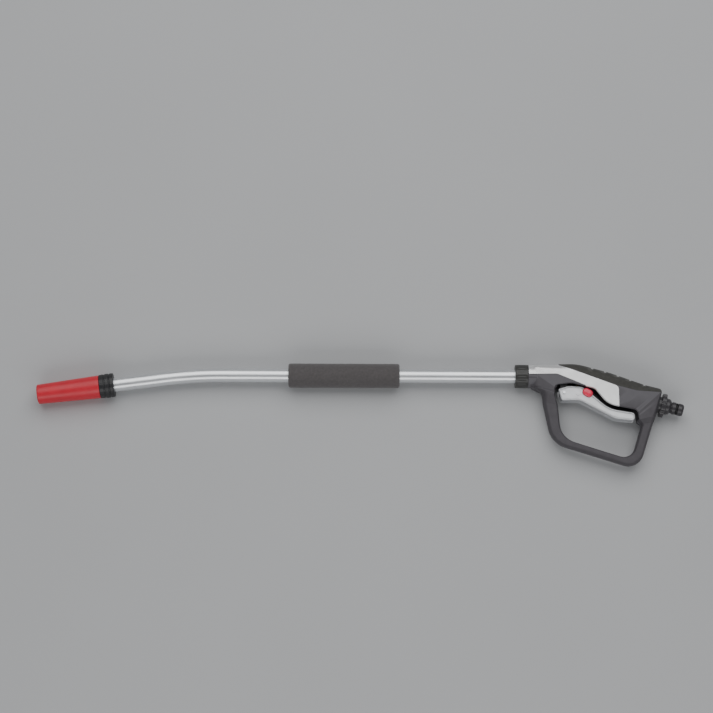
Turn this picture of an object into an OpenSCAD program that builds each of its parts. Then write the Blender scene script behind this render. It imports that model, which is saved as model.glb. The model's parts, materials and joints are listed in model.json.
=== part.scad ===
/* [Lance tube] */
// Outer diameter of the aluminium tube
tube_d = 19; // [18.5:0.1:19.5]
// Wall thickness of the tube
tube_wall = 1.2; // [0.8:0.1:1.6]
// Distance from the handle's front face back to the start of the bend
straight_len = 423; // [380:1:460]
// Length of tube between the bend and the nozzle collar
front_len = 68.5; // [60:0.5:90]
// Angle that the front of the tube bends down
bend_angle = 7.5; // [5:0.5:10]
// Radius of the bend along the tube's centre line
bend_r = 650; // [500:10:800]

/* [Foam grip] */
// Distance from the handle's front face to the grip's near end
grip_start = 178.6; // [150:0.1:190]
// Length of the grip sleeve
grip_len = 154.7; // [120:0.1:170]
// Outer diameter of the grip sleeve
grip_d = 34; // [33:0.1:34]

/* [Nozzle] */
// Length of the ringed collar
collar_len = 20; // [20:0.1:22]
// Length of the red sleeve
sleeve_len = 87; // [84:0.5:95]
// Diameter of the red sleeve at its collar end
sleeve_base_d = 31.8; // [30:0.1:32.4]
// Diameter of the red sleeve at its tip
sleeve_tip_d = 27; // [26:0.1:29]

/* [Front nut] */
// Length of the ribbed nut in front of the handle
nut_len = 17.8; // [17:0.1:20]
// Outer diameter of the nut
nut_d = 32.6; // [32:0.1:33.4]
// Number of shallow flutes round the nut
nut_flutes = 18; // [12:1:24]

/* [Handle] */
// Half thickness of the handle's body
body_half = 17; // [17:0.1:17.6]
// Half thickness of the guard bars
guard_half = 10.5; // [9:0.1:11]
// Wall thickness of the shells
wall = 2.6; // [2.4:0.1:2.8]
// Thickness of the silver trim
trim_t = 1.4; // [1.2:0.1:1.5]
// Thickness of the soft back pad
pad_t = 1.9; // [1.8:0.1:2.1]
// Half width of the trigger
trigger_half = 11.5; // [11:0.1:12]

/* [Hose inlet] */
// Angle that the inlet points below the tube's line
inlet_angle = 14.5; // [12:0.5:17]
// Diameter of the lobed flange
flange_d = 34; // [30:0.5:34]
// Diameter of the plug's ridges, where the hose connector grips
plug_d = 17.2; // [16.8:0.1:17.6]
// Number of lobes round the flange
flange_lobes = 8; // [6:1:10]

/* [Hidden] */

$fn = 48;
tube_r = tube_d / 2;
bore_r = tube_r - tube_wall;
fit = 0.05;

// The tube's line is X, the handle's front face is X = 0 and the parting plane is Z = 0.
// The whole part is then moved so that its origin is the middle of its footprint.
plug_at = [187.3, -40.5];
bend_at = [-straight_len, 0];
arc_end = bend_at + bend_r * [-sin(bend_angle), cos(bend_angle) - 1];
nozzle_dir = [-cos(bend_angle), -sin(bend_angle)];
nozzle_at = arc_end + front_len * nozzle_dir;
tip_at = nozzle_at + (collar_len + sleeve_len) * nozzle_dir;
plug_len = 28.7;
x_min = tip_at[0] - sleeve_tip_d / 2 * sin(bend_angle);
x_max = plug_at[0] + plug_len * cos(inlet_angle) + plug_d / 2 * sin(inlet_angle);
y_max = 17.2;
y_min = -126;
origin = [(x_min + x_max) / 2, (y_min + y_max) / 2, -body_half];

// ---- Outlines with round corners ----

function unit(v) = v / norm(v);
function turn(a, b) = a[0] * b[1] - a[1] * b[0];

// The arc of radius r that rounds corner v between a and b, as n + 1 points
function corner(a, v, b, r, n) =
    let (ua = unit(a - v), ub = unit(b - v), half = acos(ua * ub) / 2)
    let (c = v + unit(ua + ub) * r / sin(half), start = v + ua * r / tan(half) - c)
    let (from = atan2(start[1], start[0]), sweep = -sign(turn(ua, ub)) * (180 - 2 * half))
    [for (i = [0:n]) c + r * [cos(from + sweep * i / n), sin(from + sweep * i / n)]];

// A closed outline from rows of [x, y, corner radius]; a radius of 0 keeps the corner sharp
function rounded(rows, n = 6) =
    let (m = len(rows), p = [for (q = rows) [q[0], q[1]]])
    [for (i = [0:m - 1], q = rows[i][2] > 0
        ? corner(p[(i + m - 1) % m], p[i], p[(i + 1) % m], rows[i][2], n)
        : [p[i]]) q];

// ---- The handle's skin: a ring of rounded cross-sections round the finger opening ----

// Each row is an outer corner and the inner corner opposite it:
// [outer x, y, radius, inner x, y, radius, half thickness, outer edge round, inner edge round]
band = [
    [2, 16.4, 6, 38.6, -15.4, 6, 16.3, 14, 2.5],
    [68.5, 17.9, 80, 60, -13.2, 25, body_half, 13, 2.5],
    [114, 5.4, 150, 90.5, -20.8, 10, body_half, 13, 2.5],
    [160, -11.2, 80, 108.5, -43, 32, body_half, 12, 2.5],
    [187.2, -18.8, 5, 149.6, -50.4, 8, body_half, 6, 2.5],
    [176.6, -57.5, 12, 150.2, -63.5, 4, 16.5, 7, 3],
    [172.6, -66.5, 10, 156.2, -69.5, 5, 11.5, 5, 4],
    [151.5, -131.7, 22, 141, -117.6, 16, guard_half, 4, 3.5],
    [31.5, -94.1, 34, 45.4, -87.4, 28, guard_half, 4, 3.5],
    [20.6, -40, 40, 41.2, -42, 20, 11.5, 5, 3.5],
    [18.3, -17, 14, 37.3, -28, 8, 15, 9, 3],
    [2, -16.4, 4, 37.3, -20.5, 3.5, 16.3, 14, 2.5]
];
rows = len(band);
arc_n = 6;
link_n = 3;
nose_r = 16.3;
neck_len = 30;

function pick(i, a, b) = [for (q = [band[(i + rows) % rows]]) for (v = [q[a], q[b]]) v];
function outer_arc(i) = corner(pick(i - 1, 0, 1), pick(i, 0, 1), pick(i + 1, 0, 1), band[i][2], arc_n);
function inner_arc(i) = corner(pick(i - 1, 3, 4), pick(i, 3, 4), pick(i + 1, 3, 4), band[i][5], arc_n);
function section(i) = [band[i][6], band[i][7], band[i][8]];
function ease(t) = t * t * (3 - 2 * t);

// Stations round the ring: [outer point, inner point, [half thickness, outer round, inner round]]
stations = [for (i = [0:rows - 1])
    let (j = (i + 1) % rows, oa = outer_arc(i), ia = inner_arc(i))
    let (ob = outer_arc(j)[0], ib = inner_arc(j)[0])
    each concat(
        [for (k = [0:arc_n]) [oa[k], ia[k], section(i)]],
        [for (k = [1:link_n - 1]) let (t = k / link_n) [
            oa[arc_n] + (ob - oa[arc_n]) * t,
            ia[arc_n] + (ib - ia[arc_n]) * t,
            section(i) + (section(j) - section(i)) * ease(t)]])];
count = len(stations);
per_row = arc_n + link_n;

// One cross-section of the skin, shrunk all round by e, as a closed loop of 3D points
outer_n = 6;
inner_n = 4;
loop_n = 2 * (outer_n + inner_n + 1);
function loop(s, e) =
    let (across = s[1] - s[0], w = norm(across) - 2 * e, u = unit(across), h = s[2][0] - e)
    let (squeeze = min(1, w / (s[2][1] + s[2][2])))
    let (ro = squeeze * s[2][1], ri = squeeze * s[2][2])
    let (top = concat(
        [for (k = [0:outer_n]) let (a = 90 * k / outer_n) [ro * (1 - cos(a)), h * sin(a)]],
        [for (k = [inner_n:-1:0]) let (a = 90 * k / inner_n) [w - ri * (1 - cos(a)), h * sin(a)]]))
    let (last = len(top) - 1)
    let (ring = concat(top, [for (k = [last - 1:-1:1]) [top[k][0], -top[k][1]]]))
    [for (q = ring) let (p = s[0] + u * (e + q[0])) [p[0], p[1], q[1]]];

module ring_skin(e) {
    points = [for (s = stations) each loop(s, e)];
    faces = [for (i = [0:count - 1], k = [0:loop_n - 1])
        let (j = (i + 1) % count, m = (k + 1) % loop_n)
        let (a = i * loop_n + k, b = j * loop_n + k, c = j * loop_n + m, d = i * loop_n + m)
        each [[a, b, c], [a, c, d]]];
    polyhedron(points, faces);
}

module along_x(x0, x1, r) {
    translate([x0, 0, 0]) rotate([0, 90, 0]) cylinder(r = r, h = x1 - x0);
}

// The skin with the round neck that carries the nut
module skin(e) {
    ring_skin(e);
    along_x(0, neck_len, nose_r - e);
}

module through(height = 60) {
    translate([0, 0, -height / 2]) linear_extrude(height) children();
}

// ---- Regions on the handle's side ----

trim_rows = [
    [0.9, 0.6, 0], [40, 1.1, 15], [79, -15.3, 0], [84, -36, 0], [124.6, -66, 0],
    [124.6, -16.6, 7], [43, 13.4, 0], [38, 30, 0], [0.9, 30, 0]
];
pad_rows = [
    [44.5, 13.7, 0], [125, -15.9, 0], [150, -22.4, 30], [195, -25.4, 0],
    [200, 30, 0], [39.5, 30, 0]
];
notch_at = [[88, 11.7], [106.3, 7.5], [124, 2], [141, -4.4], [160.4, -11.2]];
gap = 0.2;

// Places on a station: d from its outer edge, or d from its inner edge
function along(i) = unit(stations[i][1] - stations[i][0]);
function from_outer(i, d) = stations[i][0] + along(i) * d;
function from_inner(i, d) = stations[i][1] - along(i) * d;
function on_arc(i) = i % per_row <= arc_n;
body_first = 3;
body_last = 5 * per_row + 3;
guard_first = 7 * per_row - 3;
guard_last = 9 * per_row + 4;
rim_depth = 7;
rim_past = 1.5;

// Side views of the body, past its inner edge, and of the guard. Their ends slant, so
// that they never lie in the plane of one cross-section.
module body_side() {
    polygon(concat(
        [for (i = [body_first:body_last]) if (on_arc(i)) from_outer(i, 1)],
        [for (i = [body_last - 1:-1:body_first + 1]) if (on_arc(i)) from_inner(i, -rim_past)]));
}

module guard_side() {
    polygon(concat(
        [for (i = [guard_first:guard_last]) if (on_arc(i)) from_outer(i, 1)],
        [for (i = [guard_last - 1:-1:guard_first + 1]) if (on_arc(i)) from_inner(i, 1.3)]));
}

// The opening between the cheeks along the body's inner edge. Its corners lie between
// two stations, so that they never meet an edge of the skin.
function rim_point(i, d) = from_inner(i, d) * 0.6 + from_inner(i + 1, d) * 0.4;
module rim_opening() {
    through(2 * (cheek + gap)) polygon(concat(
        [for (i = [body_first:body_last]) if (on_arc(i + 1)) rim_point(i, rim_depth)],
        [for (i = [body_last - 1:-1:body_first + 1]) if (on_arc(i + 1)) rim_point(i, -rim_past - 1)]));
}

cheek = body_half - wall;
screw_at = [[32, -62], [96, -109.4], [158, -88], [164.5, -56], [27.5, -22]];
screw_seat = [8.2, 8.2, 8.2, 13, 11];
boss_r = 3.6;
screw_r = 1.25;
head_r = 2.9;

module bosses() {
    for (p = screw_at) translate(p) circle(boss_r);
}

module inlet_frame() {
    translate([plug_at[0], plug_at[1], 0]) rotate([0, 0, -inlet_angle]) children();
}

socket_r = 13;
collar_socket_r = 12;
front_socket = [-10, 38];

// The space inside the body, open along its inner edge, and inside the guard
module hollow() {
    intersection() {
        through() body_side();
        union() {
            skin(wall);
            rim_opening();
        }
    }
    intersection() {
        through() guard_side();
        skin(wall);
    }
}

// Both shells before they are parted; side is 1 for the +Z half and -1 for the other
module shell(side) {
    resize([0, 0, 0]) difference() {
        skin(0);
        translate([-50, -200, side > 0 ? -60 : 0]) cube([300, 300, 60]);
        difference() {
            through() offset(delta = gap) polygon(rounded(trim_rows));
            skin(trim_t);
        }
        difference() {
            through() offset(delta = gap) polygon(rounded(pad_rows));
            skin(pad_t);
        }
        difference() {
            hollow();
            through() bosses();
        }
        along_x(-1, front_socket[1] + 1, collar_socket_r + gap);
        inlet_frame() along_x(-26, 6, socket_r + gap);
        for (i = [0:len(screw_at) - 1]) translate(screw_at[i]) {
            translate([0, 0, -30]) cylinder(r = screw_r + gap, h = 39, $fn = 16);
            translate([0, 0, -30]) cylinder(r = head_r + gap, h = 30 - screw_seat[i], $fn = 24);
        }
    }
}

module shell_left() {
    color([0.33, 0.32, 0.34]) shell(1);
}

module shell_right() {
    color([0.31, 0.3, 0.32]) shell(-1);
}

// The trim is a thin saddle over the top of the neck that runs down both sides
module trim() {
    color([0.84, 0.84, 0.85]) resize([0, 0, 0]) difference() {
        intersection() {
            skin(0);
            through() polygon(rounded(trim_rows));
        }
        skin(trim_t);
        rim_opening();
        along_x(-1, 3, nose_r - trim_t);
    }
}

notch_depth = 1.4;
notch_w = 3.6;
notch_len = 6;
notch_lean = 20;

// Side view of the notches, which run down over the pad's round edge
module notches() {
    for (p = notch_at) translate(p) rotate([0, 0, -notch_lean])
        polygon([[0, 4], [0.2, -notch_len], [notch_w - 0.2, -notch_len + 1], [notch_w, 4]]);
}

module back_pad() {
    color([0.28, 0.28, 0.27]) resize([0, 0, 0]) difference() {
        intersection() {
            skin(0);
            through() polygon(rounded(pad_rows));
        }
        skin(pad_t);
        difference() {
            through() notches();
            skin(notch_depth);
        }
    }
}

// ---- Front nut, tube and grip ----

module front_nut() {
    flute_r = 4;
    flute_depth = 0.7;
    chamfer = 1.2;
    r = nut_d / 2;
    color([0.25, 0.25, 0.25]) translate([-nut_len, 0, 0]) rotate([0, 90, 0]) difference() {
        rotate_extrude() polygon([
            [tube_r + fit, 0], [r - chamfer, 0], [r, chamfer], [r, nut_len - 0.5],
            [r - 0.5, nut_len], [collar_socket_r, nut_len],
            [collar_socket_r, nut_len + front_socket[0]], [tube_r + fit, nut_len + front_socket[0]]
        ]);
        for (i = [0:nut_flutes - 1]) rotate([0, 0, i * 360 / nut_flutes])
            translate([r + flute_r - flute_depth, 0, 2.5]) cylinder(r = flute_r, h = nut_len - 4.5);
    }
}

tube_end = 30;
tube_in_nozzle = 12;

// A rod of radius r along the tube's line; its front stretch laps the bend and is a hair wider
module bent_rod(r, rear, front) {
    lap = 0.4;
    translate([-straight_len, 0, 0]) rotate([0, 90, 0]) cylinder(r = r, h = straight_len + rear);
    translate([bend_at[0], bend_at[1] - bend_r, 0]) rotate([0, 0, 90])
        rotate_extrude(angle = bend_angle, $fn = 360) translate([bend_r, 0]) circle(r, $fn = 48);
    translate([arc_end[0], arc_end[1], 0]) rotate([0, 0, bend_angle]) rotate([0, -90, 0])
        translate([0, 0, -lap]) cylinder(r = r + 0.02, h = front + lap);
}

module lance_tube() {
    color([0.86, 0.87, 0.88]) difference() {
        bent_rod(tube_r, tube_end, front_len + tube_in_nozzle);
        bent_rod(bore_r, tube_end + 1, front_len + tube_in_nozzle + 1);
    }
}

module foam_grip() {
    edge_r = 2;
    r = grip_d / 2;
    color([0.29, 0.28, 0.29]) translate([-grip_start - grip_len, 0, 0]) rotate([0, 90, 0])
        rotate_extrude($fn = 96) polygon(rounded([
            [tube_r, 0, 0], [r, 0, edge_r], [r, grip_len, edge_r], [tube_r, grip_len, 0]], 4));
}

module o_ring(major, minor) {
    rotate([0, 90, 0]) rotate_extrude() translate([major, 0]) circle(minor, $fn = 20);
}

groove_x = 6;
groove_w = 2.4;
groove_r = 11.2;

module tube_oring() {
    color([0.1, 0.1, 0.1]) translate([groove_x + groove_w / 2, 0, 0])
        o_ring((tube_r + groove_r) / 2, (groove_r - tube_r) / 2 - 0.02);
}

// ---- Valve ----

valve_x = 69;
valve_r = 7;
valve_low = -12;
valve_high = 10.5;
cap_t = 1.4;
seat_y = -1;
passage_y = -4;
stem_r = 1.6;
pivot_at = [49.7, -24.3];
pin_r = 2;
bar_at = [69, -25.3];
bar_r = 3;
stem_foot = bar_at[1] + bar_r + fit;
lug_half = 8.6;
inlet_start = [163, -34.2];
pipe_start = [valve_x, 5];
pipe_dir = inlet_start - pipe_start;
pipe_angle = atan2(pipe_dir[1], pipe_dir[0]);
stem_groove = [-10.6, -9.2];

module along_y(y0, y1, r) {
    translate([valve_x, y0, 0]) rotate([-90, 0, 0]) cylinder(r = r, h = y1 - y0);
}

module pipe(r, extra) {
    translate([pipe_start[0], pipe_start[1], 0]) rotate([0, 0, pipe_angle])
        along_x(0, norm(pipe_dir) + extra, r);
}

module valve_body() {
    color([0.2, 0.2, 0.21]) difference() {
        union() {
            along_x(front_socket[0], front_socket[1], collar_socket_r);
            translate([0, passage_y, 0]) along_x(front_socket[1] - 1, valve_x, 5.5);
            along_y(valve_low, valve_high, valve_r);
            pipe(5.5, 2);
            inlet_frame() along_x(-26, -6.4, socket_r);
            translate([pivot_at[0], pivot_at[1], -lug_half]) cylinder(r = 5.3, h = 2 * lug_half);
            translate([44.4, pivot_at[1], -lug_half]) cube([10.6, 15, 2 * lug_half]);
        }
        along_x(front_socket[0] - 1, tube_end, tube_r + 0.02);
        translate([groove_x, 0, 0]) along_x(0, groove_w, groove_r);
        along_x(tube_end - 1, 33, bore_r);
        translate([0, passage_y, 0]) along_x(32, valve_x, 3);
        along_y(seat_y, valve_high + 1, 5);
        along_y(-7, seat_y + 1, 3.2);
        along_y(valve_low - 1, -6, stem_r + fit);
        along_y(stem_groove[0], stem_groove[1], 2.7);
        difference() {
            pipe(3.5, 2);
            along_y(-8, seat_y, valve_r);
        }
        inlet_frame() along_x(-25.5, -21, 3.5);
        inlet_frame() along_x(-22, -5, 10);
        translate([pivot_at[0], pivot_at[1], -lug_half - 1]) cylinder(r = pin_r, h = 2 * lug_half + 2);
    }
}

module valve_cap() {
    color([0.75, 0.66, 0.4]) {
        along_y(valve_high, valve_high + cap_t, valve_r - 0.2);
        along_y(valve_high - 2, valve_high, 5);
    }
}

disc_y = 0.6;
disc_t = 1.4;

module valve_stem() {
    color([0.72, 0.62, 0.36]) {
        along_y(stem_foot, disc_y + disc_t, stem_r);
        along_y(disc_y, disc_y + disc_t, 4.3);
    }
}

module valve_seal() {
    color([0.1, 0.1, 0.1]) difference() {
        along_y(seat_y, disc_y, 4.2);
        along_y(seat_y - 1, disc_y + 1, stem_r);
    }
}

module stem_oring() {
    color([0.1, 0.1, 0.1]) translate([valve_x, (stem_groove[0] + stem_groove[1]) / 2, 0])
        rotate([0, 0, 90]) o_ring(2.19, 0.49);
}

// A closed helical spring swept along its own coil
spring_low = disc_y + disc_t + 0.1;
spring_high = valve_high - 2.1;
spring_wire = 0.35;
spring_coil = 3.2;
spring_turns = 4;
spring_steps = 16;
spring_sides = 8;

module valve_spring() {
    rings = spring_turns * spring_steps;
    rise = spring_high - spring_low - 2 * spring_wire;
    points = [for (i = [0:rings]) let (a = 360 * i / spring_steps, y = spring_low + spring_wire + rise * i / rings)
        for (k = [0:spring_sides - 1]) let (b = 360 * k / spring_sides, q = spring_coil + spring_wire * cos(b))
            [valve_x + q * cos(a), y + spring_wire * sin(b), q * sin(a)]];
    faces = concat(
        [for (i = [0:rings - 1], k = [0:spring_sides - 1])
            let (m = (k + 1) % spring_sides, a = i * spring_sides, b = a + spring_sides)
            each [[a + k, a + m, b + m], [a + k, b + m, b + k]]],
        [[for (k = [spring_sides - 1:-1:0]) k]],
        [[for (k = [0:spring_sides - 1]) rings * spring_sides + k]]);
    color([0.7, 0.7, 0.72]) polyhedron(points, faces);
}

// ---- Trigger ----

trigger_rows = [
    [41, -19.4, 3], [55, -14.8, 20], [75, -15.6, 12], [112, -46.8, 40], [147.2, -52.6, 5],
    [147.4, -64.2, 4], [120, -61.6, 30], [71, -35.5, 20], [45.2, -35.8, 4]
];
channel_rows = [
    [38, -33.3, 0], [71.6, -33.1, 18], [120.6, -59.1, 28], [144, -61.2, 2],
    [144.4, -40, 0], [100, 0, 0], [38, 0, 0]
];
channel_half = 9;
button_at = [82.1, -24.6];
button_angle = -31;
button_len = 15;
button_w = 10.6;
button_shaft_r = 2.4;
button_shaft_at = button_at + 4.5 * [sin(button_angle), -cos(button_angle)];
button_top = cheek - 0.3;
button_travel = button_top - trigger_half;

module trigger_pin() {
    color([0.8, 0.8, 0.82]) translate([pivot_at[0], pivot_at[1], -trigger_half])
        cylinder(r = pin_r, h = 2 * trigger_half);
}

module stadium(length, w) {
    square([length - w, w], center = true);
    for (s = [-1, 1]) translate([s * (length - w) / 2, 0]) circle(w / 2);
}

module at_button() {
    translate([button_at[0], button_at[1], 0]) rotate([0, 0, button_angle]) children();
}

module trigger() {
    color([0.83, 0.84, 0.85]) difference() {
        union() {
            difference() {
                through(2 * trigger_half) polygon(rounded(trigger_rows));
                through(2 * channel_half) polygon(rounded(channel_rows));
            }
            translate([bar_at[0], bar_at[1], -channel_half - 1]) cylinder(r = bar_r, h = 2 * channel_half + 2);
        }
        translate([pivot_at[0], pivot_at[1], -20]) cylinder(r = pin_r + fit, h = 40);
        at_button() translate([0, 0, 4]) linear_extrude(10) stadium(button_len + 0.5, button_w + 0.5);
        translate([button_shaft_at[0], button_shaft_at[1], -20]) cylinder(r = button_shaft_r + fit, h = 21);
    }
}

module lock_button() {
    color([0.86, 0.12, 0.2]) {
        at_button() translate([0, 0, 6]) linear_extrude(button_top - 6) stadium(button_len, button_w);
        translate([button_shaft_at[0], button_shaft_at[1], -trigger_half + 0.1])
            cylinder(r = button_shaft_r, h = trigger_half + 8.6);
    }
}

// ---- Nozzle: distances are along its own line from the collar's rear face ----

module nozzle_frame() {
    translate([nozzle_at[0], nozzle_at[1], 0]) rotate([0, 0, 180 + bend_angle]) children();
}

module turned(profile) {
    rotate([90, 0, 90]) rotate_extrude($fn = 72) polygon(profile);
}

barrel_r = 11;
barrel_end = 62;
sleeve_start = collar_len + 0.3;
sleeve_end = collar_len + sleeve_len;

module nozzle_collar() {
    color([0.16, 0.16, 0.17]) nozzle_frame() turned([
        [tube_r + 0.04, 0], [16.4, 0], [17, 0.6], [17, 4.6], [16.2, 5.4], [16.2, 6.6], [16.9, 7.3],
        [16.9, 11.6], [16.1, 12.4], [16.1, 13.6], [16.7, 14.2], [16.7, 19.2], [16, collar_len],
        [tube_r + 0.04, collar_len]
    ]);
}

oring_at = [28, 54];

module nozzle_stem() {
    color([0.2, 0.2, 0.21]) nozzle_frame() difference() {
        turned([
            [4, -14], [bore_r - 0.02, -14], [bore_r - 0.02, 12.2], [tube_r, 12.2], [tube_r, collar_len + 0.2],
            [barrel_r, collar_len + 0.2], [barrel_r, barrel_end], [7, barrel_end], [6, 48], [4, 40]
        ]);
        for (s = oring_at) translate([s - 1.1, 0, 0]) rotate([0, 90, 0]) difference() {
            cylinder(r = 12, h = 2.2);
            translate([0, 0, -1]) cylinder(r = 9.3, h = 4.2);
        }
    }
}

module nozzle_sleeve() {
    base_r = sleeve_base_d / 2;
    tip_r = sleeve_tip_d / 2;
    color([0.78, 0.1, 0.14]) nozzle_frame() turned([
        [barrel_r + fit, sleeve_start], [base_r - 0.5, sleeve_start], [base_r, sleeve_start + 0.8],
        [tip_r + 0.15, sleeve_end - 2.2], [tip_r - 0.4, sleeve_end - 0.9], [tip_r - 1.6, sleeve_end - 0.15],
        [tip_r - 2.6, sleeve_end], [10.6, sleeve_end], [10.6, sleeve_end - 9], [9, sleeve_end - 9],
        [9, barrel_end + 2], [barrel_r + fit, barrel_end + 2]
    ]);
}

module nozzle_tip() {
    s = sleeve_end - 9;
    color([0.13, 0.13, 0.14]) nozzle_frame() difference() {
        turned([[2.4, s], [10.6, s], [10.6, s + 5], [8, s + 5], [7, s + 3.6], [2.4, s + 3.6]]);
        for (i = [0:11]) rotate([i * 30, 0, 0]) translate([s - 1, 5, 0]) rotate([0, 90, 0])
            cylinder(r = 0.7, h = 8, $fn = 16);
    }
}

module nozzle_needle() {
    color([0.72, 0.62, 0.36]) nozzle_frame() turned([
        [0, 34], [2, 34], [2, 42], [3.9, 42], [3.9, 43.4], [2, 43.4], [2, 89], [3.4, 89], [3.4, 91],
        [0.8, 95], [0, 95]
    ]);
}

module nozzle_orings() {
    color([0.1, 0.1, 0.1]) nozzle_frame()
        for (s = oring_at) translate([s, 0, 0]) o_ring(10.16, 0.82);
}

// ---- Hose inlet: distances are along its own line from the flange's middle ----

plug_groove = [18.2, 20.6];

module inlet_adapter() {
    plug_r = plug_d / 2;
    core_r = 7.4;
    shoulder_r = 11.2;
    flange_r = flange_d / 2;
    scallop_r = 3.4;
    color([0.15, 0.15, 0.16]) inlet_frame() difference() {
        turned([
            [5, -20], [10, -20], [10, -6], [11.4, -6], [11.4, -3], [flange_r - 0.8, -3],
            [flange_r, -2.2], [flange_r, 2.2], [flange_r - 0.8, 3], [12.2, 3], [shoulder_r, 4],
            [shoulder_r, 8.2], [core_r, 11.6], [core_r, 12.4], [plug_r, 12.9], [plug_r, 17.4],
            [core_r, plug_groove[0]], [6.5, plug_groove[0]], [6.5, plug_groove[1]],
            [core_r, plug_groove[1]], [plug_r, 21.2], [plug_r, 26.2], [7.2, plug_len], [5, plug_len]
        ]);
        for (i = [0:flange_lobes - 1]) rotate([i * 360 / flange_lobes, 0, 0])
            translate([0, flange_r + 1.2, 0]) along_x(-4, 4, scallop_r);
    }
}

module inlet_seal() {
    color([0.1, 0.1, 0.1]) inlet_frame() difference() {
        along_x(-22, -20, 9.9);
        along_x(-23, -19, 5);
    }
}

module inlet_oring() {
    color([0.1, 0.1, 0.1]) inlet_frame() translate([(plug_groove[0] + plug_groove[1]) / 2, 0, 0])
        o_ring(7.42, 0.9);
}

module inlet_filter() {
    color([0.75, 0.75, 0.77]) inlet_frame()
        turned([[3.9, -19], [4.95, -19], [4.95, -18], [4.4, -18], [1.2, -7], [0, -7], [0, -7.6], [0.9, -7.6]]);
}

// ---- Screws that hold the two shells together ----

module shell_screws() {
    head_t = 1.8;
    color([0.6, 0.6, 0.62]) for (i = [0:len(screw_at) - 1]) translate(screw_at[i]) difference() {
        union() {
            translate([0, 0, -screw_seat[i]]) cylinder(r = screw_r, h = screw_seat[i] + 7);
            translate([0, 0, -screw_seat[i] - head_t]) cylinder(r = head_r, h = head_t);
        }
        for (a = [0, 90]) rotate([0, 0, a])
            translate([-1.6, -0.35, -screw_seat[i] - head_t - 1]) cube([3.2, 0.7, 2]);
    }
}

module place() {
    translate(-origin) children();
}

place() shell_left();
place() shell_right();
place() trim();
place() back_pad();
place() front_nut();
place() lance_tube();
place() foam_grip();
place() tube_oring();
place() valve_body();
place() valve_cap();
place() valve_stem();
place() valve_seal();
place() valve_spring();
place() stem_oring();
place() trigger_pin();
place() trigger();
place() lock_button();
place() nozzle_collar();
place() nozzle_stem();
place() nozzle_sleeve();
place() nozzle_needle();
place() nozzle_orings();
place() nozzle_tip();
place() inlet_adapter();
place() inlet_seal();
place() inlet_oring();
place() inlet_filter();
place() shell_screws();
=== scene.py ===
import json
import math

import bmesh
import bpy
from mathutils import Matrix, Vector, noise


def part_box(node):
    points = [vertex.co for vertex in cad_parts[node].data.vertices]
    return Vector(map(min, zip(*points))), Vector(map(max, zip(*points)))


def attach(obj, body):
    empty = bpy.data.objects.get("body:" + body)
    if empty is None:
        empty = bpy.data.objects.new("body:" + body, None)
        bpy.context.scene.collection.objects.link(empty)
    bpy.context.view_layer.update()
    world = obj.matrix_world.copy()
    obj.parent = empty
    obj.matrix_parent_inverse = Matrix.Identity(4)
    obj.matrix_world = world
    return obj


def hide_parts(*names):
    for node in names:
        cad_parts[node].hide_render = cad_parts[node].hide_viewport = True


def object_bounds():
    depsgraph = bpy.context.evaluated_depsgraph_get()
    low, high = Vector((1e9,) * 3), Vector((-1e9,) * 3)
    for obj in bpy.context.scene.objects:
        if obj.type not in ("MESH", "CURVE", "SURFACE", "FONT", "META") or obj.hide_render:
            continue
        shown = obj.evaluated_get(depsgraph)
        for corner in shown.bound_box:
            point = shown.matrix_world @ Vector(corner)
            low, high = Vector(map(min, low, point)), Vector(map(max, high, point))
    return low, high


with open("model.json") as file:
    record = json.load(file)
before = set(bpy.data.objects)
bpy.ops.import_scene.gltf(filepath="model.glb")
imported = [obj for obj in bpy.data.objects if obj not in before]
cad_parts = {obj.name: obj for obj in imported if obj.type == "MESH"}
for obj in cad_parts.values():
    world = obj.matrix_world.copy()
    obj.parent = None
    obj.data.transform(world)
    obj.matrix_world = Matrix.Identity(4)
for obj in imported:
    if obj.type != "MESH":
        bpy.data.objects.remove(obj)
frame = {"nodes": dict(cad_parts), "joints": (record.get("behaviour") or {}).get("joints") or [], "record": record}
CAD_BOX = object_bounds()

# ---- Places: three local frames in millimetres, each with X along its own line and Z up ----

MM = 0.001
JOINTS = {joint["name"]: joint for joint in frame["joints"]}
MOUNTS = {mount["name"]: mount for mount in frame["record"]["mounts"]}
UP = Vector((0, 0, 1))


def local_frame(origin, along):
    """A matrix from local millimetres to the row frame."""
    x = Vector(along).normalized()
    axes = Matrix((x, UP.cross(x), UP)).transposed().to_4x4()
    return Matrix.Translation(Vector(origin)) @ axes @ Matrix.Scale(MM, 4)


nut_low, nut_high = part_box("front_nut")
HANDLE = local_frame((nut_high.x, (nut_low.y + nut_high.y) / 2, (nut_low.z + nut_high.z) / 2), (1, 0, 0))
NOZZLE = local_frame(JOINTS["nozzle_twist"]["pos_m"], JOINTS["nozzle_twist"]["axis"])
RIDGE_FROM_FLANGE = 15.15
plug_line = Vector(MOUNTS["hose_plug"]["axis"])
INLET = local_frame(Vector(MOUNTS["hose_plug"]["pos_m"]) - plug_line * RIDGE_FROM_FLANGE * MM, plug_line)
TO_HANDLE = HANDLE.inverted()


def handle_box(node):
    """The corners of a CAD node's box in the handle's millimetres."""
    low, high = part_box(node)
    return TO_HANDLE @ low, TO_HANDLE @ high


# ---- Camera, lights and floor ----

VIEW_ELEVATION = math.radians(77)
VIEW_ROLL = math.radians(0.25)
VIEW_DISTANCE = 2.768
LENS = 100
LOOK_AT = HANDLE @ Vector((-238.6, 27.7, 0))


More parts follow.
